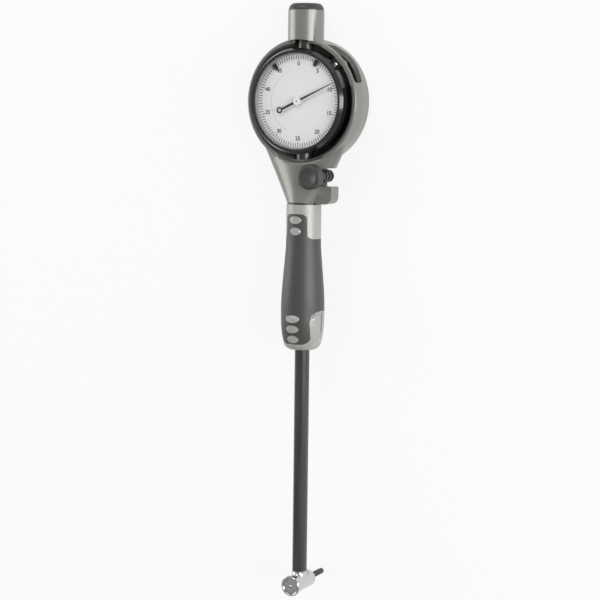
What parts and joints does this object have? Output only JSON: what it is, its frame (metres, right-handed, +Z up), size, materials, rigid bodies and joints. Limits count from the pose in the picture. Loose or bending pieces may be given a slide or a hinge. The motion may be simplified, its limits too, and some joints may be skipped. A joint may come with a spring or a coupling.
{
  "type": "dial bore gauge",
  "caption": "Long-stem dial bore gauge: a dial in a painted hood, a moulded grip, a dark tube and a small head with a sprung contact and a fixed anvil rod.",
  "frame": {"origin": "middle of the footprint, on the surface that the gauge lies on", "axes": "+Y along the gauge from the measuring head to the top boss, +Z up out of the dial"},
  "size_m": [0.0694, 0.329, 0.038],
  "materials": {
    "housing_paint": "satin grey paint on a die casting",
    "black_plastic": "moulded, satin",
    "dark_steel": "blackened",
    "handle_grey": "moulded, satin",
    "grip_rubber": "overmoulded, matt",
    "tube_composite": "dark fibre tube, semi-gloss",
    "head_chrome": "bright",
    "inner_steel": "ground",
    "spring_steel": "spring wire",
    "case_metal": "satin black",
    "bezel_black": "satin black",
    "ring_grey": "moulded, satin",
    "dial_white": "matt white print",
    "crystal_clear": "clear, polished",
    "hand_black": "matt black",
    "movement_brass": "satin"
  },
  "bodies": {
    "gauge_body": {"indicator_housing": "housing_paint", "top_plug": "black_plastic", "neck_ring": "black_plastic", "clamp_shoe": "dark_steel", "handle_core": "handle_grey", "grip_overmould": "grip_rubber", "stem_tube": "tube_composite", "guide_bushes": "inner_steel", "push_rod_spring": "spring_steel", "head_body": "head_chrome", "head_cap": "head_chrome", "bell_crank_pin": "inner_steel", "centralizer_spring": "spring_steel", "anvil_rod": "dark_steel", "indicator_case": "case_metal", "case_back": "case_metal", "case_back_screws": "inner_steel", "indicator_stem": "inner_steel", "dust_cap": "inner_steel", "lower_plate": "movement_brass", "upper_plate": "movement_brass", "plate_screws": "inner_steel", "pillar_screws": "inner_steel", "rack_bridge": "movement_brass", "hairspring": "spring_steel", "return_spring": "spring_steel"},
    "contact": {"sensing_contact": "head_chrome"},
    "crank": {"bell_crank": "inner_steel"},
    "rod": {"push_rod": "inner_steel"},
    "spindle_body": {"spindle": "inner_steel", "contact_point": "inner_steel"},
    "drive_arbor": {"rack_pinion": "inner_steel", "drive_gear": "movement_brass"},
    "pointer_arbor": {"centre_pinion": "inner_steel", "pointer": "hand_black", "pointer_hub": "movement_brass"},
    "take_up_arbor": {"hairspring_gear": "movement_brass"},
    "centralizer_body": {"centralizer": "head_chrome"},
    "bezel_body": {"bezel": "bezel_black", "crystal": "crystal_clear", "dial_face": "dial_white", "dial_ring": "ring_grey"},
    "left_hand": {"tolerance_hand_left": "hand_black"},
    "right_hand": {"tolerance_hand_right": "hand_black"},
    "clamp": {"clamp_knob": "black_plastic", "clamp_screw": "dark_steel"},
    "bezel_clamp": {"bezel_clamp_screw": "head_chrome"}
  },
  "joints": [
    {"name": "contact_slide", "type": "slide", "parent": "gauge_body", "child": "contact", "axis": [0, -0.0536, -0.9986], "range_m": [0, 0.0012]},
    {"name": "crank_turn", "type": "hinge", "parent": "gauge_body", "child": "crank", "pos_m": [0, -0.15602, 0.0297], "axis": [1, 0, 0], "range_deg": [0, 23.76]},
    {"name": "push_rod_slide", "type": "slide", "parent": "gauge_body", "child": "rod", "axis": [0, 0.9986, -0.0536], "range_m": [0, 0.0012], "deforming": ["push_rod_spring"]},
    {"name": "spindle_slide", "type": "slide", "parent": "gauge_body", "child": "spindle_body", "axis": [0, 0.9986, -0.0536], "range_m": [0, 0.0012], "stiffness_N_per_m": 500, "springref_m": -0.004, "deforming": ["return_spring"]},
    {"name": "drive_turn", "type": "hinge", "parent": "gauge_body", "child": "drive_arbor", "pos_m": [-0.0035, 0.10134, 0.01299], "axis": [0, -0.0536, -0.9986], "range_deg": [-43.02, 0]},
    {"name": "pointer_turn", "type": "hinge", "parent": "gauge_body", "child": "pointer_arbor", "pos_m": [0, 0.11144, 0.01245], "axis": [0, -0.0536, -0.9986], "range_deg": [0, 340.24]},
    {"name": "take_up_turn", "type": "hinge", "parent": "gauge_body", "child": "take_up_arbor", "pos_m": [0.0056, 0.11597, 0.0122], "axis": [0, -0.0536, -0.9986], "range_deg": [-68.09, 0], "deforming": ["hairspring"]},
    {"name": "centralizer_slide", "type": "slide", "parent": "gauge_body", "child": "centralizer_body", "axis": [0, -0.0536, -0.9986], "range_m": [0, 0.001], "stiffness_N_per_m": 1000, "springref_m": -0.003, "deforming": ["centralizer_spring"]},
    {"name": "bezel_turn", "type": "hinge", "parent": "gauge_body", "child": "bezel_body", "pos_m": [0, 0.11144, 0.01245], "axis": [0, -0.0536, -0.9986], "continuous": true},
    {"name": "left_hand_turn", "type": "hinge", "parent": "bezel_body", "child": "left_hand", "pos_m": [0, 0.11144, 0.01245], "axis": [0, -0.0536, -0.9986], "range_deg": [-120, 55]},
    {"name": "right_hand_turn", "type": "hinge", "parent": "bezel_body", "child": "right_hand", "pos_m": [0, 0.11144, 0.01245], "axis": [0, -0.0536, -0.9986], "range_deg": [-55, 120]},
    {"name": "clamp_turn", "type": "hinge", "parent": "gauge_body", "child": "clamp", "pos_m": [0.01175, 0.071, 0.01462], "axis": [0, 0.0536, 0.9986], "range_deg": [0, 540]},
    {"name": "bezel_clamp_turn", "type": "hinge", "parent": "gauge_body", "child": "bezel_clamp", "pos_m": [0.02079, 0.13149, 0.01137], "axis": [0, -0.0536, -0.9986], "range_deg": [0, 360]}
  ],
  "couplings": [
    {"joint": "crank_turn", "follows": "spindle_slide", "rad_per_m": 344.83},
    {"joint": "push_rod_slide", "follows": "spindle_slide", "ratio": 1},
    {"joint": "contact_slide", "follows": "spindle_slide", "ratio": 1},
    {"joint": "drive_turn", "follows": "spindle_slide", "rad_per_m": -625},
    {"joint": "pointer_turn", "follows": "spindle_slide", "rad_per_m": 4947.9},
    {"joint": "take_up_turn", "follows": "spindle_slide", "rad_per_m": -989.58}
  ]
}
